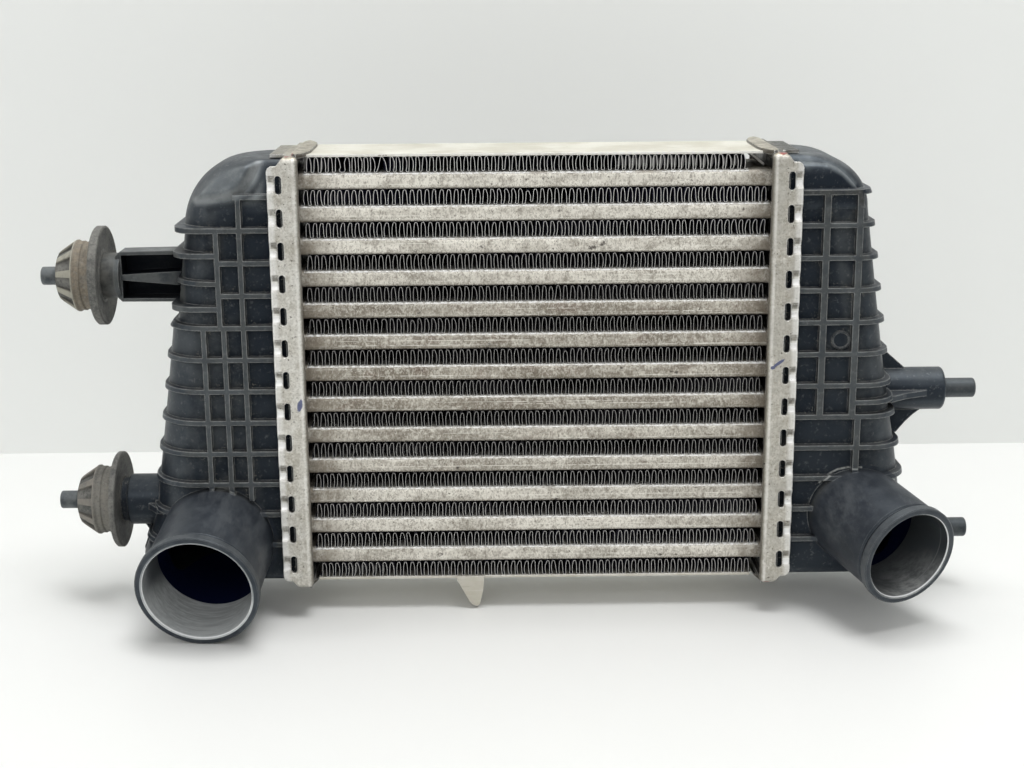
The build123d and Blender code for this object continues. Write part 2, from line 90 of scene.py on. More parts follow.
# ------------------------------------------------------------------ materials
class Mat:
    """A small wrapper that builds a node tree round one Principled shader."""

    def __init__(self, name):
        self.m = bpy.data.materials.new(name)
        self.m.use_nodes = True
        self.nt = self.m.node_tree
        self.nt.nodes.clear()
        self.out = self.nt.nodes.new("ShaderNodeOutputMaterial")
        self.bsdf = self.nt.nodes.new("ShaderNodeBsdfPrincipled")
        self.nt.links.new(self.bsdf.outputs[0], self.out.inputs[0])
        self.pos = self.nt.nodes.new("ShaderNodeTexCoord").outputs["Object"]
        self.geo = self.nt.nodes.new("ShaderNodeNewGeometry")
        self._xyz = None
        self._n = None

    def put(self, socket, value):
        if isinstance(value, bpy.types.NodeSocket):
            self.nt.links.new(value, socket)
        elif isinstance(value, (tuple, list)) and len(value) == 3 and socket.type == "RGBA":
            socket.default_value = (*value, 1.0)
        else:
            socket.default_value = value

    def set(self, **values):
        for key, value in values.items():
            self.put(self.bsdf.inputs[key.replace("_", " ")], value)

    @property
    def xyz(self):
        """X, Y, Z of the point in core coordinates, in mm."""
        if self._xyz is None:
            off = self.vec("MULTIPLY_ADD", self.pos, (1000, 1000, 1000), (-CX, -CY, -CZ))
            sep = self.nt.nodes.new("ShaderNodeSeparateXYZ")
            self.put(sep.inputs[0], off)
            self._xyz = sep.outputs
            self.mm = off
        return self._xyz

    @property
    def normal(self):
        if self._n is None:
            sep = self.nt.nodes.new("ShaderNodeSeparateXYZ")
            self.put(sep.inputs[0], self.geo.outputs["Normal"])
            self._n = sep.outputs
        return self._n

    def vec(self, op, *args):
        n = self.nt.nodes.new("ShaderNodeVectorMath")
        n.operation = op
        for s, a in zip(n.inputs, args):
            self.put(s, a)
        return n.outputs["Value"] if op in ("LENGTH", "DOT_PRODUCT", "DISTANCE") else n.outputs["Vector"]

    def math(self, op, a, b=0.0, c=None, clamp=False):
        n = self.nt.nodes.new("ShaderNodeMath")
        n.operation = op
        n.use_clamp = clamp
        self.put(n.inputs[0], a)
        self.put(n.inputs[1], b)
        if c is not None:
            self.put(n.inputs[2], c)
        return n.outputs[0]

    def add(self, a, b): return self.math("ADD", a, b)
    def sub(self, a, b): return self.math("SUBTRACT", a, b)
    def mul(self, a, b): return self.math("MULTIPLY", a, b)
    def mx(self, a, b): return self.math("MAXIMUM", a, b)
    def mn(self, a, b): return self.math("MINIMUM", a, b)

    def span(self, v, a, b, c=0.0, d=1.0, smooth=True):
        n = self.nt.nodes.new("ShaderNodeMapRange")
        n.interpolation_type = "SMOOTHSTEP" if smooth else "LINEAR"
        for s, x in zip(n.inputs[:5], (v, a, b, c, d)):
            self.put(s, x)
        return n.outputs[0]

    def mix(self, fac, a, b, blend="MIX"):
        n = self.nt.nodes.new("ShaderNodeMix")
        n.data_type = "RGBA"
        n.blend_type = blend
        self.put(n.inputs[0], fac)
        self.put(n.inputs[6], a)
        self.put(n.inputs[7], b)
        return n.outputs[2]

    def fmix(self, fac, a, b):
        n = self.nt.nodes.new("ShaderNodeMix")
        n.data_type = "FLOAT"
        self.put(n.inputs[0], fac)
        self.put(n.inputs[2], a)
        self.put(n.inputs[3], b)
        return n.outputs[0]

    def scaled(self, sx, sy, sz, turn=(0, 0, 0)):
        n = self.nt.nodes.new("ShaderNodeMapping")
        self.put(n.inputs[0], self.pos)
        n.inputs["Rotation"].default_value = turn
        n.inputs["Scale"].default_value = (sx, sy, sz)
        return n.outputs[0]

    def noise(self, scale, detail=3.0, rough=0.55, vector=None, distortion=0.0):
        n = self.nt.nodes.new("ShaderNodeTexNoise")
        self.put(n.inputs["Vector"], vector or self.pos)
        n.inputs["Scale"].default_value = scale
        n.inputs["Detail"].default_value = detail
        n.inputs["Roughness"].default_value = rough
        n.inputs["Distortion"].default_value = distortion
        return n.outputs[0]

    def cells(self, scale, vector=None, feature="F1", rnd=1.0):
        n = self.nt.nodes.new("ShaderNodeTexVoronoi")
        n.feature = feature
        self.put(n.inputs["Vector"], vector or self.pos)
        n.inputs["Scale"].default_value = scale
        n.inputs["Randomness"].default_value = rnd
        return n.outputs["Distance"], n.outputs["Color"]

    def bump(self, height, strength=0.3, distance=0.0003, normal=None):
        n = self.nt.nodes.new("ShaderNodeBump")
        n.inputs["Strength"].default_value = strength
        n.inputs["Distance"].default_value = distance
        self.put(n.inputs["Height"], height)
        if normal is not None:
            self.put(n.inputs["Normal"], normal)
        return n.outputs[0]

    def soft_edges(self, radius=0.0006, samples=4):
        """(normal rounded over the edges, how strongly an edge turns there)."""
        n = self.nt.nodes.new("ShaderNodeBevel")
        n.samples = samples
        n.inputs["Radius"].default_value = radius
        turn = self.vec("DOT_PRODUCT", n.outputs[0], self.geo.outputs["Normal"])
        return n.outputs[0], self.span(turn, 0.995, 0.80)

    def hollow(self, distance=0.006, samples=6):
        """1 in corners and hollows, 0 in the open."""
        n = self.nt.nodes.new("ShaderNodeAmbientOcclusion")
        n.samples = samples
        n.inputs["Distance"].default_value = distance
        return self.math("SUBTRACT", 1.0, n.outputs["AO"], clamp=True)

    def blob(self, x, z, rx, rz, turn=0.0, soft=0.25, wobble=0.25):
        """A soft round patch in the front view, centred on core x, z."""
        X, _, Z = self.xyz[0], self.xyz[1], self.xyz[2]
        c, s = math.cos(math.radians(turn)), math.sin(math.radians(turn))
        dx, dz = self.sub(X, x), self.sub(Z, z)
        u = self.math("DIVIDE", self.add(self.mul(dx, c), self.mul(dz, s)), rx)
        v = self.math("DIVIDE", self.sub(self.mul(dz, c), self.mul(dx, s)), rz)
        r = self.math("SQRT", self.add(self.mul(u, u), self.mul(v, v)))
        r = self.add(r, self.mul(self.sub(self.noise(900, 2), 0.5), wobble * 2))
        return self.span(r, 1.0, 1.0 - soft)

    def stroke(self, points, half, soft=1.0):
        """A soft line in the front view through core x, z points."""
        X, Z = self.xyz[0], self.xyz[2]
        best = None
        for (ax, az), (bx, bz) in zip(points, points[1:]):
            dx, dz = bx - ax, bz - az
            n = dx * dx + dz * dz
            px, pz = self.sub(X, ax), self.sub(Z, az)
            t = self.math("DIVIDE", self.add(self.mul(px, dx), self.mul(pz, dz)), n, clamp=True)
            ex, ez = self.sub(px, self.mul(t, dx)), self.sub(pz, self.mul(t, dz))
            d = self.math("SQRT", self.add(self.mul(ex, ex), self.mul(ez, ez)))
            best = d if best is None else self.mn(best, d)
        return self.span(best, half + soft, max(0.0, half - soft))


def port_axis(m, mouth, heading, dip):
    """(distance in from the mouth, distance from the axis) in mm."""
    h, d = math.radians(heading), math.radians(dip)
    inward = (-math.sin(h) * math.cos(d), math.cos(h) * math.cos(d), math.sin(d))
    m.xyz
    rel = m.vec("SUBTRACT", m.mm, mouth)
    t = m.vec("DOT_PRODUCT", rel, inward)
    r = m.vec("LENGTH", m.vec("CROSS_PRODUCT", rel, inward))
    return t, r


PORT = {
    "left_tank": dict(mouth=(-160.6, -48.0, -189.8), heading=-4.5, dip=12.4, bore=26.0, body=27.8),
    "right_tank": dict(mouth=(175.7, -42.0, -178.4), heading=23.8, dip=11.3, bore=22.0, body=24.2),
}


def plastic(name):
    """Glass-filled black plastic: satin, greyed and worn on its ribs, dust in its corners."""
    m = Mat(name + "_plastic")
    X, Y, Z = m.xyz[0], m.xyz[1], m.xyz[2]
    nx, ny, nz = m.normal[0], m.normal[1], m.normal[2]
    left = name == "left_tank"
    broad = m.noise(22, 4, 0.6)
    mid = m.noise(130, 5, 0.65)
    grain = m.noise(1700, 3, 0.6)
    scuff = m.noise(420, 4, 0.72)
    rounded, edge = m.soft_edges(0.0009, 4)
    hollow = m.hollow(0.006, 4)
    wide = m.hollow(0.018, 4)
    open_edge = m.mul(edge, m.span(hollow, 0.80, 0.45))
    base = m.mix(m.span(broad, 0.35, 0.68), (0.009, 0.013, 0.020), (0.020, 0.025, 0.032))
    base = m.mix(m.mul(m.span(mid, 0.5, 0.75), 0.45), base, (0.036, 0.040, 0.045))
    # ribs and ledges stand proud of the wall and are rubbed greyer
    proud = m.mul(m.span(Y, -6.9, -8.3), m.span(Z, -7.5, -9.0))
    proud = m.mx(proud, m.span(Y, DEPTH + 6.9, DEPTH + 8.4))
    proud = m.mul(proud, m.span(m.noise(210, 4, 0.65), 0.30, 0.62, 0.45, 1.0))
    base = m.mix(m.mul(proud, 0.62), base, (0.074, 0.074, 0.066))
    # the outer flank is scuffed paler than the pockets; the domes are painted paler, partly for scuffs and partly as a
    # painted sheen reflection, on the right dome as a painted highlight band near its top
    if left:
        flank = m.mul(m.span(m.add(X, m.mul(Z, 0.10)), -147.0, -153.0), m.span(Y, 2.0, -3.0))
        dome_scuff_and_sheen = m.mul(m.span(Z, -16.0, -9.0), m.span(X, -125.0, -131.0))
        dome_scuff_and_sheen = m.mul(dome_scuff_and_sheen, m.span(ny, -0.30, -0.60))
    else:
        flank = m.mul(m.span(m.add(X, m.mul(Z, 0.16)), 134.0, 138.0), m.mul(m.span(Y, 4.0, -2.0), m.span(Z, -14.0, -20.0)))
        dome_scuff_and_sheen = m.mul(m.span(m.noise(60, 3), 0.4, 0.6), m.mul(m.span(Z, -2.0, 1.5), m.span(X, 154.0, 146.0)))
        dome_scuff_and_sheen = m.mul(dome_scuff_and_sheen, 0.45)
    cloudy = m.span(m.noise(75, 5, 0.68), 0.34, 0.66)
    base = m.mix(m.mul(flank, m.mul(cloudy, 0.55)), base, (0.075, 0.081, 0.084))
    base = m.mix(m.mul(dome_scuff_and_sheen, m.add(0.42, m.mul(cloudy, 0.55))), base, (0.200, 0.216, 0.220))
    if left:
        # painted highlight along the left dome's ridge
        ridge_highlight = m.stroke([(-126.9, 11.5), (-128.8, 7.0), (-132.6, -1.0), (-137.0, -6.8), (-146.0, -10.4), (-159.0, -12.6)], 1.3, 1.8)
        ridge_highlight = m.mul(ridge_highlight, m.span(m.noise(120, 4, 0.68), 0.28, 0.55, 0.35, 1.0))
        base = m.mix(m.mul(m.mul(ridge_highlight, m.span(ny, -0.2, -0.5)), 0.85), base, (0.30, 0.315, 0.32))
        # painted shade under the ridge
        under = m.stroke([(-124.0, 4.5), (-129.0, -3.5), (-132.6, -8.8), (-140.0, -13.6), (-153.0, -16.2)], 1.2, 1.4)
        base = m.mix(m.mul(under, 0.7), base, (0.004, 0.005, 0.008))
        # painted shade line along the dome's upper crease
        lip = m.stroke([(-162.6, -9.0), (-159.7, -1.6), (-154.4, 4.6), (-148.2, 8.6), (-140.4, 11.2), (-131.2, 12.8), (-124, 13.2)], 0.8, 0.5)
        base = m.mix(m.mul(m.mul(lip, m.span(Y, 22, 14)), 0.85), base, (0.003, 0.003, 0.005))
    else:
        # painted highlight along the right dome's front edge
        ridge_highlight = m.stroke([(124.5, 3.6), (132.0, 3.4), (138.5, 1.9), (144.5, -1.6), (149.5, -6.5)], 0.9, 1.5)
        ridge_highlight = m.mul(ridge_highlight, m.span(m.noise(120, 4, 0.68), 0.28, 0.55, 0.45, 1.0))
        base = m.mix(m.mul(ridge_highlight, 0.75), base, (0.165, 0.185, 0.195))
    # film of dust on faces that look up
    up = m.mul(m.span(nz, 0.25, 0.95), m.span(m.noise(75, 5, 0.7), 0.28, 0.72))
    base = m.mix(m.mul(up, 0.40), base, (0.105, 0.107, 0.102))
    # fine scuffs all over, denser where things rub
    rub = m.mul(m.span(scuff, 0.56, 0.68), m.span(wide, 0.75, 0.25))
    base = m.mix(m.mul(rub, 0.35), base, (0.16, 0.165, 0.165))
    # rubbed ribs, palest just along their edges
    wear = m.mul(open_edge, m.span(m.noise(300, 4, 0.7), 0.30, 0.58, 0.30, 1.0))
    base = m.mix(m.mul(wear, 0.92), base, (0.42, 0.425, 0.41))
    # pale crumbs packed into the corners
    crumbs = m.mul(m.span(m.noise(900, 3, 0.7), 0.58, 0.66), m.span(hollow, 0.36, 0.62))
    crumbs = m.mul(crumbs, m.span(m.noise(90, 3), 0.44, 0.58))
    base = m.mix(m.mul(crumbs, 0.9), base, (0.40, 0.38, 0.32))
    film = m.mul(m.span(hollow, 0.30, 0.75), m.span(m.noise(160, 4, 0.7), 0.42, 0.70))
    base = m.mix(m.mul(film, 0.35), base, (0.115, 0.108, 0.088))
    rough = m.span(m.noise(260, 4, 0.7), 0.2, 0.8, 0.30, 0.50, smooth=False)
    rough = m.add(rough, m.mul(up, 0.16))
    rough = m.sub(rough, m.mul(dome_scuff_and_sheen, 0.06))
    # pins: bare, dusty grey
    pins = m.span(X, -230.8, -232.2) if left else m.span(X, 204.6, 205.4)
    base = m.mix(m.mul(pins, m.span(m.noise(160, 4, 0.7), 0.3, 0.65, 0.25, 0.8)), base, (0.150, 0.158, 0.155) if left else (0.070, 0.075, 0.075))
    if left:
        neck = m.mul(m.mul(m.span(X, -203.2, -203.6), m.span(Z, -66.0, -64.0)), m.mul(m.span(Z, -38.0, -40.0), m.span(X, -212.0, -211.0)))
        base = m.mix(m.mul(neck, 0.9), base, m.mix(m.span(mid, 0.35, 0.65), (0.050, 0.051, 0.048), (0.115, 0.113, 0.102)))
        flanges = m.mul(m.mul(m.span(X, -166.0, -168.5), m.span(X, -204.5, -203.5)), m.mul(m.span(Z, -35.0, -37.0), m.span(Z, -69.0, -66.0)))
        flanges = m.mul(flanges, m.span(m.noise(120, 4, 0.68), 0.30, 0.62, 0.35, 0.9))
        base = m.mix(m.mul(flanges, 0.8), base, (0.120, 0.124, 0.118))
        # painted shade: the arm's pockets are darkened nearly to black
        arm_pocket_shade = m.mul(m.mul(m.span(X, -167.5, -169.5), m.span(X, -202.5, -200.5)),
                    m.mul(m.span(Z, -39.9, -40.9), m.span(Z, -63.0, -62.0)))
        arm_pocket_shade = m.mul(arm_pocket_shade, m.span(wide, 0.22, 0.42))
        base = m.mix(m.mul(arm_pocket_shade, 0.95), base, (0.002, 0.003, 0.006))
    # ports: a bright ring at the mouth; inside, a grey wall painted with light and shade
    p = PORT[name]
    t, r = port_axis(m, p["mouth"], p["heading"], p["dip"])
    b, barrel = p["bore"], p["body"]
    # barrel itself is smooth and dark
    tube = m.mul(m.mul(m.span(r, barrel + 2.2, barrel + 1.9), m.span(t, 52, 44)), m.span(t, -1.0, -0.5))
    base = m.mix(m.mul(tube, 0.75), base, m.mix(m.span(mid, 0.35, 0.7), (0.012, 0.016, 0.025), (0.034, 0.040, 0.050)))
    streaks = m.mul(tube, m.span(m.noise(1, 4, 0.7, vector=m.scaled(90, 20, 60)), 0.52, 0.70))
    base = m.mix(m.mul(streaks, 0.45), base, (0.085, 0.092, 0.098))
    base = m.mix(m.mul(m.mul(tube, m.span(t, 6.5, 4.5)), m.mul(edge, 0.5)), base, (0.25, 0.26, 0.26))
    # scuffed line where the barrel leaves the wall
    if left:
        root = m.stroke([(-157.6, -151.9), (-150.3, -152.6), (-146.6, -154.4)], 0.30, 0.6)
    else:
        root = m.mx(m.stroke([(138.7, -152.6), (140.7, -150.5), (143.5, -148.0), (147.3, -146.0), (152.2, -145.0), (159.0, -145.1)], 0.40, 0.40),
                    m.stroke([(170.1, -150.9), (174.1, -152.4), (177.6, -154.0)], 0.5, 0.5))
    root = m.mul(root, m.mul(m.span(m.noise(260, 4, 0.7), 0.34, 0.52, 0.25, 1.0), m.mul(m.span(Y, -13.5, -12.0), m.span(Y, 6.0, 3.0))))
    base = m.mix(m.mul(root, 0.55 if left else 0.85), base, (0.42, 0.43, 0.41))
    # the lip in front of the groove is rubbed, the groove itself is painted near-black
    groove = m.mul(m.mul(m.span(t, 4.3, 4.9), m.span(t, 7.2, 6.3)), m.span(r, barrel + 2.2, barrel + 1.9))
    base = m.mix(m.mul(groove, m.mul(m.span(r, b + 1.2, b + 1.4), 0.8)), base, (0.004, 0.005, 0.008))
    bead = m.mul(m.mul(m.span(t, 0.3, 0.8), m.span(t, 4.6, 4.2)), m.span(r, barrel + 0.2, barrel + 0.8))
    base = m.mix(m.mul(bead, m.mul(m.span(m.noise(120, 4, 0.68), 0.3, 0.6, 0.4, 1.0), 0.55)), base, (0.105, 0.113, 0.116))
    # painted light and shade inside the port: the wall is painted paler low down near the mouth, darker further in and
    # nearly black beyond the step; on the right port the upper-left wall is painted dark
    beyond_step_shade = m.span(t, 28.7, 28.2)
    inside = m.mul(m.span(r, b + 1.2, b + 0.9), m.mul(m.span(t, 110.0, 90.0), m.span(t, -1.0, -0.5)))
    inside = m.mul(inside, m.span(Y, DEPTH + 6.0, DEPTH + 5.0))
    cloud = m.noise(70, 4, 0.6)
    low = m.span(m.sub(Z, p["mouth"][2] + 4.0), -3.0, -14.0)
    wall = m.mix(m.span(cloud, 0.35, 0.7), (0.20, 0.215, 0.22), (0.36, 0.375, 0.38))
    wall = m.mix(m.span(t, 2.0, 18.0), wall, (0.10, 0.108, 0.115))
    if left:
        arcs = m.span(m.noise(1, 4, 0.7, vector=m.scaled(45, 700, 240)), 0.36, 0.66, 0.60, 1.0)
        wall = m.mix(m.mul(m.mul(low, 0.78), arcs), wall, (0.70, 0.725, 0.72))
    else:
        pale = m.mix(m.span(cloud, 0.35, 0.65), (0.24, 0.25, 0.25), (0.46, 0.47, 0.46))
        pale = m.mix(m.span(t, 4.0, 27.0), pale, (0.16, 0.168, 0.172))
        lean = m.sub(m.sub(Z, p["mouth"][2]), m.mul(m.sub(X, p["mouth"][0]), 0.30))
        arcs = m.span(m.noise(1, 4, 0.7, vector=m.scaled(200, 420, 200)), 0.34, 0.62, 0.45, 1.0)
        wall = m.mix(m.mul(m.span(lean, -5.0, -25.0), arcs), (0.050, 0.056, 0.060), pale)
    wall = m.mix(beyond_step_shade, (0.005, 0.008, 0.034), wall)
    base = m.mix(inside, base, wall)
    # a bright ring painted at the mouth's inner edge
    ring = m.mul(m.span(t, 0.95, 0.75), m.mul(m.span(r, b - 0.6, b - 0.3), m.span(r, b + 0.42, b + 0.26)))
    ring = m.mul(ring, m.span(m.noise(240, 3), 0.12, 0.3, 0.7, 1.0))
    base = m.mix(ring, base, (0.90, 0.91, 0.91))
    second = m.mul(m.mul(m.span(t, 5.4, 5.7), m.span(t, 6.2, 6.0)), m.span(r, b + 0.3, b + 0.1))
    base = m.mix(m.mul(second, 0.20), base, (0.50, 0.51, 0.52))
    rough = m.fmix(inside, rough, 0.34)
    h = m.add(m.mul(grain, 0.5), m.mul(mid, 0.8))
    m.set(Base_Color=base, Roughness=rough, Normal=m.bump(h, 0.35, 0.00025, rounded))
    m.bsdf.inputs["IOR"].default_value = 1.5
    # the pockets are dusty; their specular level is lowered as painted shade, as on the flat pocket floors, the lower
    # face of the right dome's cap and deep in the ports; the open faces keep their sheen
    shine = m.span(wide, 0.18, 0.62, 0.50, 0.12)
    shine = m.fmix(tube, shine, 0.36)
    flat = m.mul(m.span(ny, -0.90, -0.98), m.mul(m.span(Y, -7.4, -6.8), m.span(Z, -16.0, -19.0)))
    shine = m.mul(shine, m.sub(1.0, m.mul(flat, 0.55)))
    if not left:
        cap_shade = m.mul(m.mul(m.span(Z, 1.0, -3.0), m.span(Z, -17.0, -14.0)), m.span(ny, -0.6, -0.9))
        shine = m.fmix(cap_shade, shine, 0.20)
    shine = m.fmix(inside, shine, m.fmix(beyond_step_shade, 0.05, 0.5))
    m.put(m.bsdf.inputs["Specular IOR Level"], shine)
    m.bsdf.inputs["Specular Tint"].default_value = (0.78, 0.90, 1.0, 1.0)
    return m.m


def header_metal(name, sign):
    """Pressed aluminium: dull speckled face, painted highlight on the bends and edges, painted shade and highlight on
    the crimped strips, darker hollows, paint dabs.
    """
    m = Mat(name + "_metal")
    X, Y, Z = m.xyz[0], m.xyz[1], m.xyz[2]
    nx, ny, nz = m.normal[0], m.normal[1], m.normal[2]
    rounded, edge = m.soft_edges(0.0010, 4)
    hollow = m.hollow(0.005, 6)
    long_grain = m.noise(1, 4, 0.65, vector=m.scaled(900, 900, 60))
    patch = m.noise(55, 5, 0.62)
    fine = m.noise(900, 5, 0.75)
    base = m.mix(m.span(patch, 0.36, 0.66), (0.45, 0.425, 0.365), (0.66, 0.645, 0.595))
    base = m.mix(m.mul(m.span(long_grain, 0.45, 0.75), 0.35), base, (0.74, 0.735, 0.70))
    # speckle of pale and dark grains
    base = m.mix(m.mul(m.span(fine, 0.52, 0.60), 0.40), base, (0.84, 0.82, 0.76))
    base = m.mix(m.mul(m.span(fine, 0.48, 0.38), 0.42), base, (0.20, 0.175, 0.13))
    mott = m.noise(380, 4, 0.7)
    base = m.mix(m.mul(m.span(mott, 0.50, 0.40), 0.08 if sign < 0 else 0.22), base, (0.19, 0.17, 0.13))
    base = m.mix(m.mul(m.span(mott, 0.53, 0.63), 0.35), base, (0.82, 0.81, 0.76))
    if sign > 0:
        base = m.mix(m.mul(m.span(patch, 0.38, 0.58), 0.46), base, (0.29, 0.27, 0.225))
    # brown stains and dark specks
    stain = m.mul(m.span(m.noise(120, 5, 0.7), 0.54, 0.72), 0.55)
    base = m.mix(stain, base, (0.27, 0.24, 0.18))
    base = m.mix(m.mul(m.span(m.noise(600, 2, 0.6), 0.66, 0.72), 0.8), base, (0.10, 0.09, 0.075))
    base = m.mix(m.mul(m.span(hollow, 0.25, 0.65), 0.6), base, (0.18, 0.165, 0.135))
    reach = m.math("ABSOLUTE", X, 0)
    # painted highlight on the bend beside the core; painted shade on the dark band behind it and on the turned faces
    # that do not look up
    bend_highlight = m.mul(m.span(m.math("ABSOLUTE", m.sub(reach, 112.0), 0), 1.0, 0.2), m.span(m.noise(90, 3), 0.3, 0.6, 0.4, 1.0))
    base = m.mix(m.mul(bend_highlight, 0.50), base, (0.86, 0.85, 0.81))
    inner = m.mul(m.mul(m.span(reach, 113.0, 112.4), m.span(Y, -10.6, -9.6)), m.span(Y, DEPTH + 10.6, DEPTH + 9.6))
    base = m.mix(m.mul(inner, 0.90), base, (0.035, 0.032, 0.030))
    turned = m.mul(m.span(reach, 111.4, 110.4), m.span(nz, 0.6, 0.3))
    base = m.mix(m.mul(turned, 0.65), base, (0.13, 0.115, 0.09))
    # crimped strips: painted shade on the upper part of each strip, painted highlight on the lower part and on the
    # outer skirt
    u = m.math("FLOORED_MODULO", m.sub(Z, 3.75), 15.5)
    skirt = m.mul(m.span(reach, 117.2, 118.0), m.span(m.math("ABSOLUTE", ny, 0), 0.15, 0.4))
    strip = m.mul(skirt, m.span(reach, 120.3, 120.9))
    upper = m.mul(m.span(u, 8.6, 9.4), m.span(u, 12.6, 11.8))
    lower = m.mul(m.span(u, 4.6, 5.4), m.span(u, 8.4, 7.6))
    ragged = m.span(m.noise(260, 3, 0.7), 0.30, 0.55, 0.35, 1.0)
    base = m.mix(m.mul(m.mul(strip, upper), m.mul(ragged, 0.70)), base, (0.085, 0.080, 0.068))
    base = m.mix(m.mul(m.mul(strip, lower), m.mul(ragged, 0.95)), base, (0.96, 0.96, 0.94))
    between = m.mul(skirt, m.mx(m.span(u, 2.2, 0.8), m.span(u, 13.8, 15.0)))
    base = m.mix(m.mul(between, m.mul(ragged, 0.15)), base, (0.34, 0.31, 0.255))
    base = m.mix(m.mul(m.mul(skirt, m.span(reach, 120.6, 122.6)), m.mul(m.sub(1.0, upper), 0.45)), base, (0.92, 0.92, 0.90))
    # painted highlight along the skirt's free edge and along the open edges
    lip = m.mul(m.span(reach, 123.3, 123.9), ragged)
    base = m.mix(m.mul(lip, 0.5), base, (0.90, 0.90, 0.88))
    open_edge = m.mul(edge, m.span(hollow, 0.7, 0.3))
    base = m.mix(m.mul(open_edge, 0.75), base, (0.88, 0.88, 0.86))
    # ends: the ears are beige, the rim outside them is darkened
    crown = m.mul(m.span(nz, 0.5, 0.8), m.span(Z, 6.5, 7.5))
    base = m.mix(m.mul(crown, 0.85), base, m.mix(m.span(m.noise(260, 4, 0.7), 0.38, 0.62), (0.27, 0.24, 0.18), (0.54, 0.50, 0.41)))
    rim = m.mul(crown, m.span(m.add(reach, m.mul(m.noise(240, 3, 0.6), 2.2)), 114.6, 115.8))
    base = m.mix(m.mul(rim, 0.92 if sign > 0 else 0.25), base, m.mix(m.span(m.noise(420, 3, 0.7), 0.45, 0.65), (0.030, 0.031, 0.030), (0.22, 0.20, 0.16)))

    far = m.mul(m.span(reach, 117.6, 118.6), m.span(Z, 7.4, 8.2))
    base = m.mix(m.mul(far, 0.88 if sign > 0 else 0.35), base, (0.045, 0.044, 0.040))

    def dab(cx, cy, cz, rx, ry, rz):
        d = m.vec("DIVIDE", m.vec("SUBTRACT", m.mm, (cx, cy, cz)), (rx, ry, rz))
        r = m.add(m.vec("LENGTH", d), m.mul(m.sub(m.noise(700, 2), 0.5), 1.1))
        return m.span(r, 1.0, 0.75)

    if sign < 0:
        blue = m.blob(-113.1, -109.4, 1.35, 3.5, -14)
        blue = m.mul(blue, m.span(ny, -0.3, -0.6))
        red = m.mx(dab(-115.2, -8.4, 9.6, 2.6, 3.6, 1.3), m.mul(dab(-113.2, -6.0, 9.4, 1.6, 2.6, 1.2), 0.8))
    else:
        blue = m.mx(m.blob(115.7, -90.8, 3.6, 0.85, 35, wobble=0.12), m.blob(112.9, -93.0, 1.3, 1.0, 20))
        blue = m.mul(blue, m.span(ny, -0.3, -0.6))
        red = m.mx(dab(114.6, -10.0, 8.8, 2.2, 3.4, 0.9), dab(113.6, -11.6, -202.6, 2.3, 3.0, 0.9))
    base = m.mix(m.mul(blue, 0.85), base, (0.045, 0.065, 0.19))
    base = m.mix(m.mul(red, 0.85), base, (0.30, 0.075, 0.065))
    rough = m.span(m.noise(330, 4, 0.7), 0.30, 0.70, 0.26, 0.54, smooth=False)
    rough = m.sub(rough, m.mul(open_edge, 0.1))
    dents = m.add(m.mul(m.noise(70, 3, 0.6), 1.0), m.mul(fine, 0.14))
    m.set(Base_Color=base, Roughness=rough, Normal=m.bump(dents, 0.6, 0.0012, rounded))
    m.put(m.bsdf.inputs["Metallic"], m.sub(0.62, m.mul(stain, 0.5)))
    return m.m


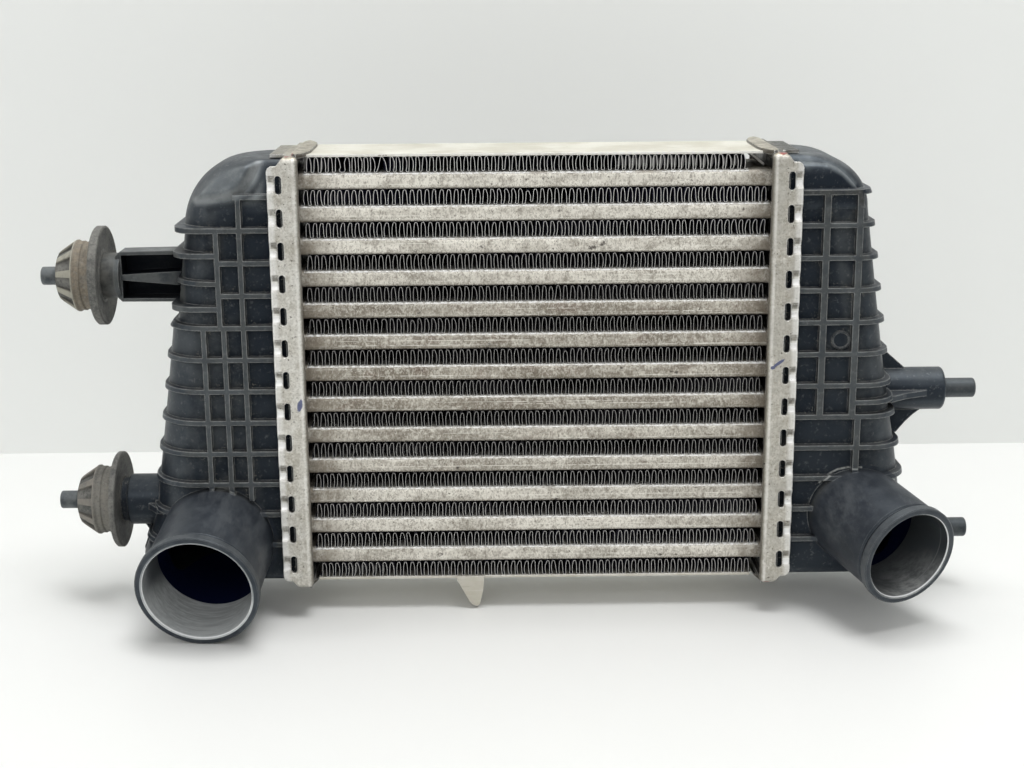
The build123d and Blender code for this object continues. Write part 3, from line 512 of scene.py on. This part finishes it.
def tube_metal(name, index):
    """Brazed tube: beige road film, mottling, thin bright draw lines, painted highlight along the top shoulder, painted
    shade along the bottom edge.
    """
    m = Mat(name + "_metal")
    X, Y, Z = m.xyz[0], m.xyz[1], m.xyz[2]
    top = -index * PITCH
    down = m.sub(top, Z)
    shift = (index * 0.37, index * 1.31, index * 0.73)
    v = m.vec("ADD", m.pos, shift)
    cloud = m.noise(1, 5, 0.62, vector=m.vec("MULTIPLY", v, (34, 60, 90)))
    mottle = m.noise(1, 5, 0.72, vector=m.vec("MULTIPLY", v, (430, 430, 330)))
    fine = m.noise(1, 4, 0.75, vector=m.vec("MULTIPLY", v, (1500, 1200, 1000)))
    wipe = m.noise(1, 4, 0.7, vector=m.vec("MULTIPLY", v, (300, 300, 90)))
    # how pale a tube is: the top one is cleanest, the middle ones are browner
    tone = (1.48, 1.44, 1.56, 1.10, 0.34, 0.26, 0.18, 0.30, 0.66, 0.86, 1.28, 1.32, 1.34)[index]
    pale = (0.37 + 0.30 * tone, 0.336 + 0.30 * tone, 0.275 + 0.287 * tone)
    drab = (0.195 + 0.20 * tone, 0.165 + 0.20 * tone, 0.123 + 0.187 * tone)
    base = m.mix(m.span(cloud, 0.38, 0.60), drab, pale)
    rust = m.mul(m.span(m.noise(1, 4, 0.65, vector=m.vec("MULTIPLY", v, (50, 90, 110))), 0.50, 0.72),
                 0.65 * max(0.15, 1.2 - tone))
    base = m.mix(rust, base, (0.235, 0.165, 0.130))
    base = m.mix(m.mul(m.span(wipe, 0.52, 0.62), 0.28), base, (0.17, 0.145, 0.11))
    base = m.mix(m.mul(m.span(mottle, 0.515, 0.60), 0.44), base, (0.80, 0.775, 0.69))
    base = m.mix(m.mul(m.span(mottle, 0.485, 0.40), 0.38), base, (0.165, 0.135, 0.10))
    base = m.mix(m.mul(m.span(fine, 0.53, 0.60), 0.42), base, (0.88, 0.86, 0.79))
    base = m.mix(m.mul(m.span(fine, 0.475, 0.39), 0.55), base, (0.12, 0.10, 0.08))
    speck = m.span(m.noise(520, 2, 0.6, vector=v), 0.68, 0.74)
    base = m.mix(m.mul(speck, 0.8), base, (0.06, 0.05, 0.04))
    # dark pits, a few on each tube
    pit = m.mul(m.span(m.noise(150, 2, 0.5, vector=v), 0.70, 0.75), m.span(m.noise(500, 3, 0.7, vector=v), 0.42, 0.55))
    base = m.mix(m.mul(pit, 0.85), base, (0.045, 0.035, 0.03))
    # broken bright draw lines along the tube
    rng = random.Random(100 + index)
    line = 0.0
    for _ in range(3):
        y0 = rng.uniform(2.0, 6.8)
        slope = rng.uniform(-0.0018, 0.0018)
        d = m.math("ABSOLUTE", m.sub(m.sub(down, m.mul(X, slope)), y0), 0)
        here = m.span(m.noise(1, 2, 0.5, vector=m.vec("MULTIPLY", m.vec("ADD", v, (y0, 0, 0)), (12, 1, 1))), 0.50, 0.60)
        dash = m.span(m.noise(1, 2, 0.6, vector=m.vec("MULTIPLY", v, (260, 1, 1))), 0.38, 0.50)
        line = m.mx(m.mul(m.mul(m.span(d, 0.26, 0.10), here), dash), line)
    base = m.mix(m.mul(line, 0.70), base, (0.88, 0.86, 0.78))
    # painted shade along the tube's bottom edge
    bottom_edge_shade = m.span(down, 6.6, 7.9)
    base = m.mix(m.mul(bottom_edge_shade, 0.40), base, (0.13, 0.115, 0.095))
    # broken painted highlight along the top shoulder under the fin
    shoulder_highlight = m.mul(m.span(down, 1.5, 1.0), m.span(m.noise(420, 3, 0.7, vector=v), 0.46, 0.56))
    base = m.mix(m.mul(shoulder_highlight, 0.75), base, (0.92, 0.91, 0.86))
    # grime towards the headers
    ends = m.mul(m.span(m.math("ABSOLUTE", X, 0), 90, 111), m.span(m.noise(160, 4, 0.7, vector=v), 0.35, 0.60, 0.25, 0.85))
    base = m.mix(ends, base, (0.22, 0.185, 0.14))
    rough = m.span(mottle, 0.25, 0.75, 0.46, 0.66, smooth=False)
    h = m.add(m.mul(mottle, 0.6), m.mul(fine, 0.35))
    m.set(Base_Color=base, Roughness=rough, Normal=m.bump(h, 0.6, 0.00025))
    m.bsdf.inputs["Metallic"].default_value = 0.30
    return m.m


def fin_metal():
    """Thin fin strip: bright cut edge in front, dirty, painted shade further in and painted light on flanks facing the
    front.
    """
    m = Mat("fin_strip_metal")
    X, Y, Z = m.xyz[0], m.xyz[1], m.xyz[2]
    ny = m.normal[1]
    n = m.noise(420, 4, 0.7)
    base = m.mix(m.span(n, 0.35, 0.7), (0.36, 0.35, 0.33), (0.62, 0.61, 0.58))
    dirt = m.mul(m.span(m.noise(60, 4, 0.65), 0.50, 0.66), 0.6)
    base = m.mix(dirt, base, (0.27, 0.235, 0.19))
    # painted shade: dark navy further in, less on the flanks facing the front, which are painted light
    deep_shade = m.mn(m.span(Y, 0.34, 1.05), m.span(Y, DEPTH - 0.34, DEPTH - 1.05))
    faced_light = m.mul(m.span(ny, -0.12, -0.42), m.span(Y, 2.6, 1.4))
    deep_shade = m.mul(deep_shade, m.sub(1.0, m.mul(faced_light, 0.9)))
    base = m.mix(m.mul(faced_light, 0.75), base, (0.80, 0.79, 0.76))
    base = m.mix(m.mul(deep_shade, 0.98), base, (0.009, 0.010, 0.042))
    edge = m.mx(m.span(Y, 0.36, 0.31), m.span(Y, DEPTH - 0.36, DEPTH - 0.31))
    base = m.mix(m.mul(edge, m.span(m.noise(90, 4, 0.7), 0.3, 0.7, 0.35, 0.95)), base, (0.80, 0.79, 0.76))
    # the middle rows have dulled most
    dull = m.sub(1.0, m.mx(m.span(Z, -65, -2), m.mul(m.span(Z, -130, -190), 0.45)))
    base = m.mix(m.mul(dull, 0.60), base, (0.11, 0.105, 0.10))
    m.set(Base_Color=base, Roughness=m.span(n, 0.2, 0.8, 0.38, 0.6, smooth=False),
          Normal=m.bump(n, 0.3, 0.0001))
    m.put(m.bsdf.inputs["Metallic"], m.sub(0.5, m.mul(deep_shade, 0.5)))
    return m.m


def braze_metal():
    m = Mat("braze_metal")
    n = m.noise(700, 4, 0.7)
    broad = m.noise(40, 4, 0.6)
    # the braze is bright; its base colour is raised near white as a painted highlight along the fillets
    base = m.mix(m.span(n, 0.40, 0.58), (0.66, 0.64, 0.58), (1.0, 0.995, 0.97))
    base = m.mix(m.mul(m.span(broad, 0.56, 0.70), 0.7), base, (0.36, 0.32, 0.26))
    m.set(Base_Color=base, Roughness=0.42, Normal=m.bump(n, 0.4, 0.00015))
    m.bsdf.inputs["Metallic"].default_value = 0.0
    return m.m


def plate_metal(name, pale):
    m = Mat(name + "_metal")
    X, Y, Z = m.xyz[0], m.xyz[1], m.xyz[2]
    rounded, edge = m.soft_edges(0.0006, 4)
    grain = m.noise(1, 4, 0.6, vector=m.scaled(25, 900, 900))
    cloud = m.noise(45, 5, 0.62)
    base = m.mix(m.span(cloud, 0.34, 0.68), (pale[0] * 0.78, pale[1] * 0.76, pale[2] * 0.70), pale)
    base = m.mix(m.mul(m.span(grain, 0.5, 0.75), 0.3), base, (0.82, 0.82, 0.80))
    speck = m.span(m.noise(420, 3, 0.65), 0.66, 0.73)
    base = m.mix(m.mul(speck, 0.6), base, (0.22, 0.19, 0.15))
    smear = m.mul(m.span(m.noise(1, 4, 0.7, vector=m.scaled(30, 160, 160)), 0.60, 0.72), 0.5)
    base = m.mix(smear, base, (0.38, 0.35, 0.28))
    base = m.mix(m.mul(edge, 0.5), base, (0.88, 0.87, 0.84))
    if name == "top_plate":
        # painted shade: the plate's faces below its top, towards the back and at its ends, are painted near-black
        tongue = m.mul(m.span(Z, 7.55, 7.35), m.span(Y, 6.0, 7.0))
        tongue = m.mx(tongue, m.mul(m.span(Z, 7.45, 7.25), m.span(m.math("ABSOLUTE", X, 0), 99.8, 100.4)))
        base = m.mix(m.mul(tongue, 0.95), base, (0.040, 0.037, 0.034))
        # painted highlight: faces that look to the front are painted paler
        front = m.mul(m.span(m.normal[1], -0.5, -0.8), m.span(m.noise(160, 3), 0.3, 0.5, 0.5, 1.0))
        base = m.mix(m.mul(front, 0.6), base, (0.90, 0.89, 0.85))
        mark = m.mul(m.stroke([(-75.0, 8.1), (-69.5, 8.0)], 0.25, 0.2), m.span(m.noise(500, 2), 0.4, 0.5))
        base = m.mix(m.mul(mark, 0.8), base, (0.14, 0.11, 0.08))
    m.set(Base_Color=base, Roughness=m.span(cloud, 0.25, 0.75, 0.40, 0.60, smooth=False),
          Normal=m.bump(m.add(grain, m.mul(cloud, 2.0)), 0.25, 0.0003, rounded))
    m.bsdf.inputs["Metallic"].default_value = 0.45
    return m.m


def inner_metal():
    m = Mat("turbulator_metal")
    n = m.noise(500, 4, 0.7)
    m.set(Base_Color=m.mix(n, (0.55, 0.55, 0.55), (0.78, 0.78, 0.78)), Roughness=0.4, Normal=m.bump(n, 0.2, 0.0001))
    m.bsdf.inputs["Metallic"].default_value = 0.8
    return m.m


def gasket_rubber():
    m = Mat("gasket_rubber_black")
    n = m.noise(900, 4, 0.7)
    m.set(Base_Color=m.mix(n, (0.015, 0.015, 0.016), (0.035, 0.035, 0.035)), Roughness=0.7,
          Normal=m.bump(n, 0.3, 0.0002))
    return m.m


def bush_rubber(name, z_pin, face_x, ochre, pale):
    """Aged rubber: grey bloom on the flange, ochre dust in the groove and down the cone."""
    m = Mat(name + "_rubber")
    X, Y, Z = m.xyz[0], m.xyz[1], m.xyz[2]
    rounded, edge = m.soft_edges(0.0008, 4)
    hollow = m.hollow(0.006, 6)
    out = m.sub(face_x, X)
    dy, dz = m.sub(Y, DEPTH / 2), m.sub(Z, z_pin)
    rad = m.math("SQRT", m.add(m.mul(dy, dy), m.mul(dz, dz)))
    cloud = m.noise(95, 5, 0.66)
    fine = m.noise(700, 4, 0.72)
    base = m.mix(m.span(cloud, 0.34, 0.68), (0.080, 0.082, 0.078), (0.195, 0.192, 0.176))
    base = m.mix(m.mul(m.span(fine, 0.52, 0.62), 0.40), base, (0.23, 0.225, 0.20))
    base = m.mix(m.mul(m.span(fine, 0.47, 0.38), 0.40), base, (0.040, 0.040, 0.036))
    # inner half of the flange is darker and wiped
    dark = m.mul(m.span(out, 1.2, 0.7), m.span(rad, 22.5, 18.0))
    base = m.mix(m.mul(dark, 0.25), base, (0.042, 0.046, 0.048))
    # ochre dust in the neck behind the flange
    band = m.mul(m.span(out, 3.3, 4.2), m.span(out, 13.0, 12.0))
    band = m.mul(band, m.span(m.noise(150, 4, 0.7), 0.30, 0.60, 0.35, 1.0))
    band = m.mul(band, m.span(fine, 0.36, 0.60, 0.55, 1.0))
    base = m.mix(m.mul(band, 0.62), base, ochre)
    # ribs of the cone are pale, the flutes between them grey and dirty
    rib = m.mul(m.span(out, 12.2, 12.8), m.span(m.sub(rad, m.sub(17.5, m.mul(m.sub(out, 13.0), 0.676))), -1.1, -0.5))
    rib = m.mul(rib, m.span(m.noise(170, 5, 0.7), 0.30, 0.55, 0.45, 1.0))
    base = m.mix(m.mul(rib, 0.85), base, pale)
    base = m.mix(m.mul(m.span(hollow, 0.35, 0.7), 0.55), base, (0.085, 0.070, 0.052))
    base = m.mix(m.mul(m.mul(edge, m.span(hollow, 0.4, 0.1)), 0.4), base, (0.26, 0.255, 0.23))
    scratch = m.span(m.noise(1, 3, 0.6, vector=m.scaled(500, 60, 500, (0.5, 0.3, 0.2))), 0.62, 0.68)
    base = m.mix(m.mul(scratch, 0.35), base, (0.24, 0.235, 0.215))
    m.set(Base_Color=base, Roughness=m.span(cloud, 0.2, 0.8, 0.62, 0.85, smooth=False),
          Normal=m.bump(m.add(m.mul(fine, 0.5), cloud), 0.5, 0.0004, rounded))
    m.bsdf.inputs["Specular IOR Level"].default_value = 0.35
    return m.m


def dress(node, material):
    o = nodes[node]
    if not o.material_slots:
        o.data.materials.append(material)
    for s in o.material_slots:
        s.material = material


tank_mat = {side: plastic(side + "_tank") for side in ("left", "right")}
for side in ("left", "right"):
    dress(side + "_tank", tank_mat[side])
dress("left_header_plate", header_metal("left_header", -1))
dress("right_header_plate", header_metal("right_header", 1))
dress("top_side_plate", plate_metal("top_plate", (0.68, 0.665, 0.595)))
dress("bottom_side_plate", plate_metal("bottom_plate", (0.66, 0.64, 0.58)))
rubber, inner = gasket_rubber(), inner_metal()
for side in ("left", "right"):
    dress(side + "_tank_gasket", rubber)
for i in range(13):
    dress(f"charge_tube_{i + 1:02d}", tube_metal(f"tube_{i + 1:02d}", i))
    dress(f"tube_turbulator_{i + 1:02d}", inner)
dress("upper_rubber_mount", bush_rubber("upper_mount", -51.8, -210.3, (0.27, 0.215, 0.145), (0.38, 0.365, 0.30)))
dress("lower_rubber_mount", bush_rubber("lower_mount", -167.0, -208.0, (0.20, 0.185, 0.155), (0.235, 0.215, 0.185)))


# ----------------------------------------------------------------- fin strips
def mesh_object(name, verts, faces, material, smooth=True, sharp=None):
    mesh = bpy.data.meshes.new(name)
    mesh.from_pydata([tuple(v) for v in verts], [], faces)
    mesh.update()
    o = bpy.data.objects.new(name, mesh)
    bpy.context.scene.collection.objects.link(o)
    mesh.materials.append(material)
    if smooth:
        mesh.polygons.foreach_set("use_smooth", [True] * len(mesh.polygons))
        if sharp is not None:
            mesh.set_sharp_from_angle(angle=math.radians(sharp))
    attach(o, "root")
    return o


def px_x(u, v=None, row=0):
    """Core X, at the tubes' front, of a column of the photograph in a fin row."""
    return (u - 536.0) / (2.128 - 0.0085 * row)


# stretches where the strip is pushed over: row, from x, to x, shear in mm
PUSHED = [
    (0, -106, -97, 0.9), (0, -52, 0, 0.35), (0, 38, 98, 1.6), (1, -100, -88, 0.3), (4, 60, 75, 0.5),
    (8, 55, 98, 0.7), (9, -100, -55, 0.8), (9, -20, 8, 0.5), (10, -30, 60, 0.9), (10, 70, 96, 0.6),
    (11, -50, -10, 0.5), (11, 20, 44, 0.4), (13, -95, -70, 0.9), (13, -30, 40, 0.4), (13, 50, 96, 0.8),
]


# crests opened out to a wide round, by row and number
WIDE = {(0, 10): 1.5, (5, 21): 1.2, (9, 12): 1.2, (12, 87): 1.2}
# crests whose neighbours stand further apart, in mm
SPREAD = {(0, 10): 0.7, (0, 21): 1.4, (5, 21): 0.5, (12, 87): 0.5}


def fin_mesh(index, material):
    rng = random.Random(7000 + index)
    low, high = -index * PITCH, -index * PITCH + FIN_H
    start, end = -109.4 + rng.uniform(0, 0.7), 110.0 - rng.uniform(0, 0.7)
    start, end = {0: (-107.6, 99.4), 13: (-107.4, 106.8)}.get(index, (start, end))
    count = round((end - start) / FIN_PITCH)
    step = (end - start) / count
    gauge = 0.21
    lo, hi = low + gauge / 2 + 0.02, high - gauge / 2 - 0.02
    # crests: every half wave, with slow drift, small jitter and a slow lean
    ph = [rng.uniform(0, 6.28) for _ in range(4)]
    crests = []
    for k in range(2 * count + 1):
        x = start + k * step / 2
        s = (x - start) / (end - start)
        drift = (0.9 * math.sin(4.3 * s + ph[0]) + 0.25 * math.sin(17 * s + ph[1])) * smooth(min(s, 1 - s), 0, 0.08)
        jit = rng.gauss(0, 0.085)
        if rng.random() < 0.02:
            jit += rng.choice((-0.4, 0.4))
        crests.append([x + (drift + jit if 0 < k < 2 * count else 0), k % 2, x, s])
    for (row, k), apart in SPREAD.items():
        for j in range(1, 9):
            if row == index:
                crests[k + j][0] += apart * (9 - j) / 8
                crests[k - j][0] -= apart * (9 - j) / 8
    path_f, path_b = [], []
    for k, (x, up, x0, s) in enumerate(crests):
        r = 0.70 + rng.gauss(0, 0.05)
        r0 = 0.66
        if (index, k) in WIDE:
            r = WIDE[index, k]
        dip = max(0.0, rng.gauss(0, 0.10))
        if rng.random() < 0.012:
            dip += rng.uniform(0.5, 1.1)
        z = hi - dip if up else lo + dip
        zb = hi if up else lo
        sgn = 1 if up else -1
        for a in (-72, -40, 0, 40, 72):
            t = math.radians(a)
            path_f.append((x + r * math.sin(t), z - sgn * r * 1.25 * (1 - math.cos(t))))
            path_b.append((x0 + r0 * math.sin(t), zb - sgn * r0 * 1.25 * (1 - math.cos(t))))
        if k < len(crests) - 1:
            nx_, nup = crests[k + 1][0], crests[k + 1][1]
            lean = 0.20 * math.sin(7.3 * s + ph[2]) + 0.12 * math.sin(23 * s + ph[3]) + rng.gauss(0, 0.05)
            bow = 0.16 + rng.gauss(0, 0.04)
            for f, w in ((0.33, 0.9), (0.67, 0.9)):
                zz = z + (((lo if up else hi) - z) * f)
                xx = x + r * 0.95 + (nx_ - r * 0.95 - x - r * 0.95) * f
                path_f.append((xx + lean * w + (bow if up else -bow) * w, zz))
                path_b.append((x0 + r0 * 0.95 + (step / 2 - 2 * r0 * 0.95) * f, zb + (((lo if up else hi) - zb) * f)))
    # how far each point is pushed sideways a little way in
    def shear(x):
        total = 0.0
        for row, a, b, amount in PUSHED:
            if row == index and a - 3 < x < b + 3:
                w = min(1, max(0, (x - a + 3) / 6)) * min(1, max(0, (b + 3 - x) / 6))
                total += amount * w * (0.75 + 0.25 * math.sin(x * 1.3 + row))
        return total
    # depth, share of the front line, share of the push, waviness to the side
    levels = [(0.30, 1.0, 0.0, 0.0), (0.75, 1.0, 0.25, 0.0), (1.7, 0.85, 0.8, 0.0), (3.6, 0.5, 1.0, 0.0),
              (8.0, 0.0, 0.55, 0.0), (13.0, 0.0, 0.0, 0.9), (19.0, 0.0, 0.0, -1.1), (25.0, 0.0, 0.0, 1.1),
              (31.0, 0.0, 0.0, -1.1), (37.0, 0.0, 0.0, 0.9), (DEPTH - 4.0, 0.0, 0.0, 0.0), (DEPTH - 0.3, 0.35, 0.0, 0.0)]
    inner = {0: (-106.4, 99.4), 13: (-107.6, 107.6)}.get(index, (-110.2, 110.2))
    n = len(path_f)
    verts, faces = [], []
    for y, w, q, side in levels:
        line = []
        for (xf, zf), (xb, zb) in zip(path_f, path_b):
            x = xb + (xf - xb) * w + side
            if y > 5:
                x = min(inner[1], max(inner[0], x))
            z = zb + (zf - zb) * w
            mid = 1 - abs((z - (lo + hi) / 2) / ((hi - lo) / 2)) ** 2
            x += q * shear(xf) * max(0, mid)
            line.append((x, z))
        for i, (x, z) in enumerate(line):
            a = line[max(0, i - 1)]
            b = line[min(n - 1, i + 1)]
            dx, dz = b[0] - a[0], b[1] - a[1]
            d = math.hypot(dx, dz) or 1.0
            ox, oz = -dz / d * gauge / 2, dx / d * gauge / 2
            for sg in (1, -1):
                zz = min(high - 0.005, max(low + 0.005, z + sg * oz))
                verts.append(at(x + sg * ox, y, zz))
    def vid(level, i, side):
        return (level * n + i) * 2 + side
    L = len(levels)
    for l in range(L - 1):
        for i in range(n - 1):
            faces.append((vid(l, i, 0), vid(l, i + 1, 0), vid(l + 1, i + 1, 0), vid(l + 1, i, 0)))
            faces.append((vid(l, i, 1), vid(l + 1, i, 1), vid(l + 1, i + 1, 1), vid(l, i + 1, 1)))
        for i in (0, n - 1):
            quad = (vid(l, i, 0), vid(l + 1, i, 0), vid(l + 1, i, 1), vid(l, i, 1))
            faces.append(quad if i == 0 else quad[::-1])
    for i in range(n - 1):
        faces.append((vid(0, i, 0), vid(0, i, 1), vid(0, i + 1, 1), vid(0, i + 1, 0)))
        faces.append((vid(L - 1, i, 0), vid(L - 1, i + 1, 0), vid(L - 1, i + 1, 1), vid(L - 1, i, 1)))
    o = mesh_object(f"fin_strip_{index + 1:02d}", verts, faces, material, sharp=50)
    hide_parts(f"cooling_fin_{index + 1:02d}")
    return [c for c in crests if c[1] == 0]


fin_mat, braze_mat = fin_metal(), braze_metal()
low_crests = {}
for i in range(14):
    low_crests[i] = fin_mesh(i, fin_mat)


# braze fillets between each tube's shoulder and the fin crests above it
def braze_strip(index):
    rng = random.Random(4100 + index)
    crests = [c[0] for c in low_crests[index]]
    x0, x1 = crests[0] - 1.3, crests[-1] + 1.3
    count = int((x1 - x0) / 0.36)
    lump = [(rng.uniform(0.75, 1.0), rng.uniform(-0.15, 0.15)) for _ in crests]
    top = -index * PITCH
    verts, faces = [], []
    k, rows = 0, 6
    for i in range(count + 1):
        x = x0 + i * (x1 - x0) / count
        while k + 1 < len(crests) and abs(crests[k + 1] - x) < abs(crests[k] - x):
            k += 1
        size, off = lump[k]
        d = min(1.0, abs(x - crests[k] - off) / 1.55)
        h = size * math.cos(d * math.pi / 2) ** 1.1
        wob = rng.uniform(-0.03, 0.03)
        zt = top - (0.08 + 0.50 * (1 - h)) + wob
        proud = 0.02 + 0.06 * h
        sink = 0.22 * (1 - h)
        for y, z in ((2.2, top - 0.03), (1.2, top - 0.06 - 0.26 * (1 - h)), (0.62 - proud + sink, zt),
                     (0.36 - proud + sink, top - 0.46), (0.24 - proud * 0.5 + sink, top - 0.74 + wob),
                     (0.50, top - 1.00)):
            verts.append(at(x, y, z))
    for i in range(count):
        for j in range(rows - 1):
            faces.append((i * rows + j, i * rows + j + 1, (i + 1) * rows + j + 1, (i + 1) * rows + j))
    return mesh_object(f"braze_{index + 1:02d}", verts, faces, braze_mat)


for i in range(13):
    braze_strip(i)


# ------------------------------------------------------- swellings of the domes
def polyline_side(px, pz, line):
    """Signed distance to an open line; positive to the left of its direction."""
    best, sign = 1e9, 1.0
    for (ax, az), (bx, bz) in zip(line, line[1:]):
        dx, dz = bx - ax, bz - az
        t = max(0.0, min(1.0, ((px - ax) * dx + (pz - az) * dz) / (dx * dx + dz * dz)))
        ex, ez = px - ax - dx * t, pz - az - dz * t
        d = math.hypot(ex, ez)
        if d < best - 1e-9:
            best, sign = d, (1.0 if dx * ez - dz * ex > 0 else -1.0)
    return best * sign


def skin(name, node, x0, x1, z0, z1, step, push, material):
    """A moulded swelling on the front of a tank: it leaves the wall only where push is over 0."""
    bpy.context.view_layer.update()
    tank = nodes[node]
    tree = BVHTree.FromObject(tank, bpy.context.evaluated_depsgraph_get())
    back = tank.matrix_world.inverted()
    verts, faces, ids = [], [], {}
    nx, nz = round((x1 - x0) / step), round((z1 - z0) / step)
    for i in range(nx + 1):
        for j in range(nz + 1):
            x, z = x0 + i * (x1 - x0) / nx, z0 + j * (z1 - z0) / nz
            start = back @ at(x, -60, z)
            way = (back.to_3x3() @ Vector((0, 1, 0))).normalized()
            hit = tree.ray_cast(start, way, 0.12)[0]
            if hit is None:
                continue
            y = (tank.matrix_world @ hit).y * 1000 - CY
            out = push(x, z, y)
            ids[i, j] = (len(verts), out)
            verts.append(at(x, y + 0.2 - (out + 0.2 if out > 0.02 else 0.0), z))
    for i in range(nx):
        for j in range(nz):
            quad = [ids.get(k) for k in ((i, j), (i + 1, j), (i + 1, j + 1), (i, j + 1))]
            if None in quad or max(q[1] for q in quad) <= 0.0:
                continue
            faces.append([q[0] for q in quad])
    return mesh_object(name, verts, faces, material)


brow_low = [(-172, -18.5), (-163.0, -15.2), (-153.6, -13.8), (-144.7, -12.9), (-140.0, -11.4), (-136.4, -9.0),
            (-133.5, -6.0), (-131.2, -2.4), (-129.4, 1.2), (-127.8, 5.2), (-126.8, 8.6), (-126.4, 14)]
brow_rim = [(-165.2, -18.0), (-162.4, -9.8), (-158.6, -4.4), (-153.4, 0.9), (-146.2, 5.6), (-139.4, 8.0), (-124, 9.0)]


def left_push(x, z, y):
    d = polyline_side(x, z, brow_low)
    e = -polyline_side(x, z, brow_rim)
    if d <= 0 or e <= 0:
        return 0.0
    return 4.8 * smooth(d, 0, 6.2) * (1 - 0.66 * smooth(d, 5.4, 15.0)) * smooth(e, 0, 5.0)


cap_edge = [(112, 3.7), (126.3, 3.5), (132.5, 3.3), (137.0, 2.8), (141.5, 1.0), (146.4, -3.0), (150.4, -7.2),
            (153.8, -12.5), (156.4, -19.0)]


def right_push(x, z, y):
    d = -polyline_side(x, z, cap_edge)
    if d <= 0 or z < -18.2:
        return 0.0
    r = 3.4
    face_y = -6.5 + r * (1 - math.sqrt(max(0.0, 1 - (1 - min(d, r) / r) ** 2)))
    return max(0.0, y - face_y)


skin("left_dome_brow", "left_tank", -168, -124.6, -18, 12, 0.32, left_push, tank_mat["left"])
skin("right_dome_cap", "right_tank", 117.5, 158.2, -18.4, 6, 0.36, right_push, tank_mat["right"])


# --------------------------------------------------------------------- stage
def stage_mat(name, colour, rough):
    m = Mat(name)
    n = m.noise(3, 3, 0.5)
    base = m.mix(n, tuple(c * 0.985 for c in colour), colour)
    m.set(Base_Color=base, Roughness=rough)
    return m.m


def sheet(name, corners, material):
    mesh = bpy.data.meshes.new(name)
    mesh.from_pydata(corners, [], [(0, 1, 2, 3)])
    mesh.materials.append(material)
    o = bpy.data.objects.new(name, mesh)
    bpy.context.scene.collection.objects.link(o)
    return o


wall_y = (CY + 281) / 1000
sheet("floor", [(-4, -4, 0), (4, -4, 0), (4, wall_y, 0), (-4, wall_y, 0)], stage_mat("floor_paint", (0.76, 0.765, 0.75), 0.5))
sheet("backdrop", [(-4, wall_y, 0), (4, wall_y, 0), (4, wall_y, 3), (-4, wall_y, 3)], stage_mat("wall_paint", (0.86, 0.875, 0.855), 0.6))


def area(name, where, target, size, size_y, energy, colour=(1, 1, 1)):
    data = bpy.data.lights.new(name, "AREA")
    data.shape = "RECTANGLE"
    data.size, data.size_y = size, size_y
    data.energy = energy
    data.color = colour
    o = bpy.data.objects.new(name, data)
    bpy.context.scene.collection.objects.link(o)
    o.location = where
    o.rotation_euler = (Vector(target) - Vector(where)).to_track_quat("-Z", "Y").to_euler()
    return o


area("top_light", (0.05, 0.02, 1.9), (0, -0.02, 0.1), 1.7, 0.7, 40)
area("front_fill", (-0.3, -2.2, 1.5), (0, 0, 0.1), 2.4, 1.2, 15)
area("left_fill", (-1.9, -0.6, 1.0), (0, 0, 0.1), 1.0, 1.4, 4)
world = bpy.data.worlds.new("world")
world.use_nodes = True
world.node_tree.nodes["Background"].inputs[0].default_value = (1.0, 1.0, 1.0, 1.0)
world.node_tree.nodes["Background"].inputs[1].default_value = 0.36
bpy.context.scene.world = world
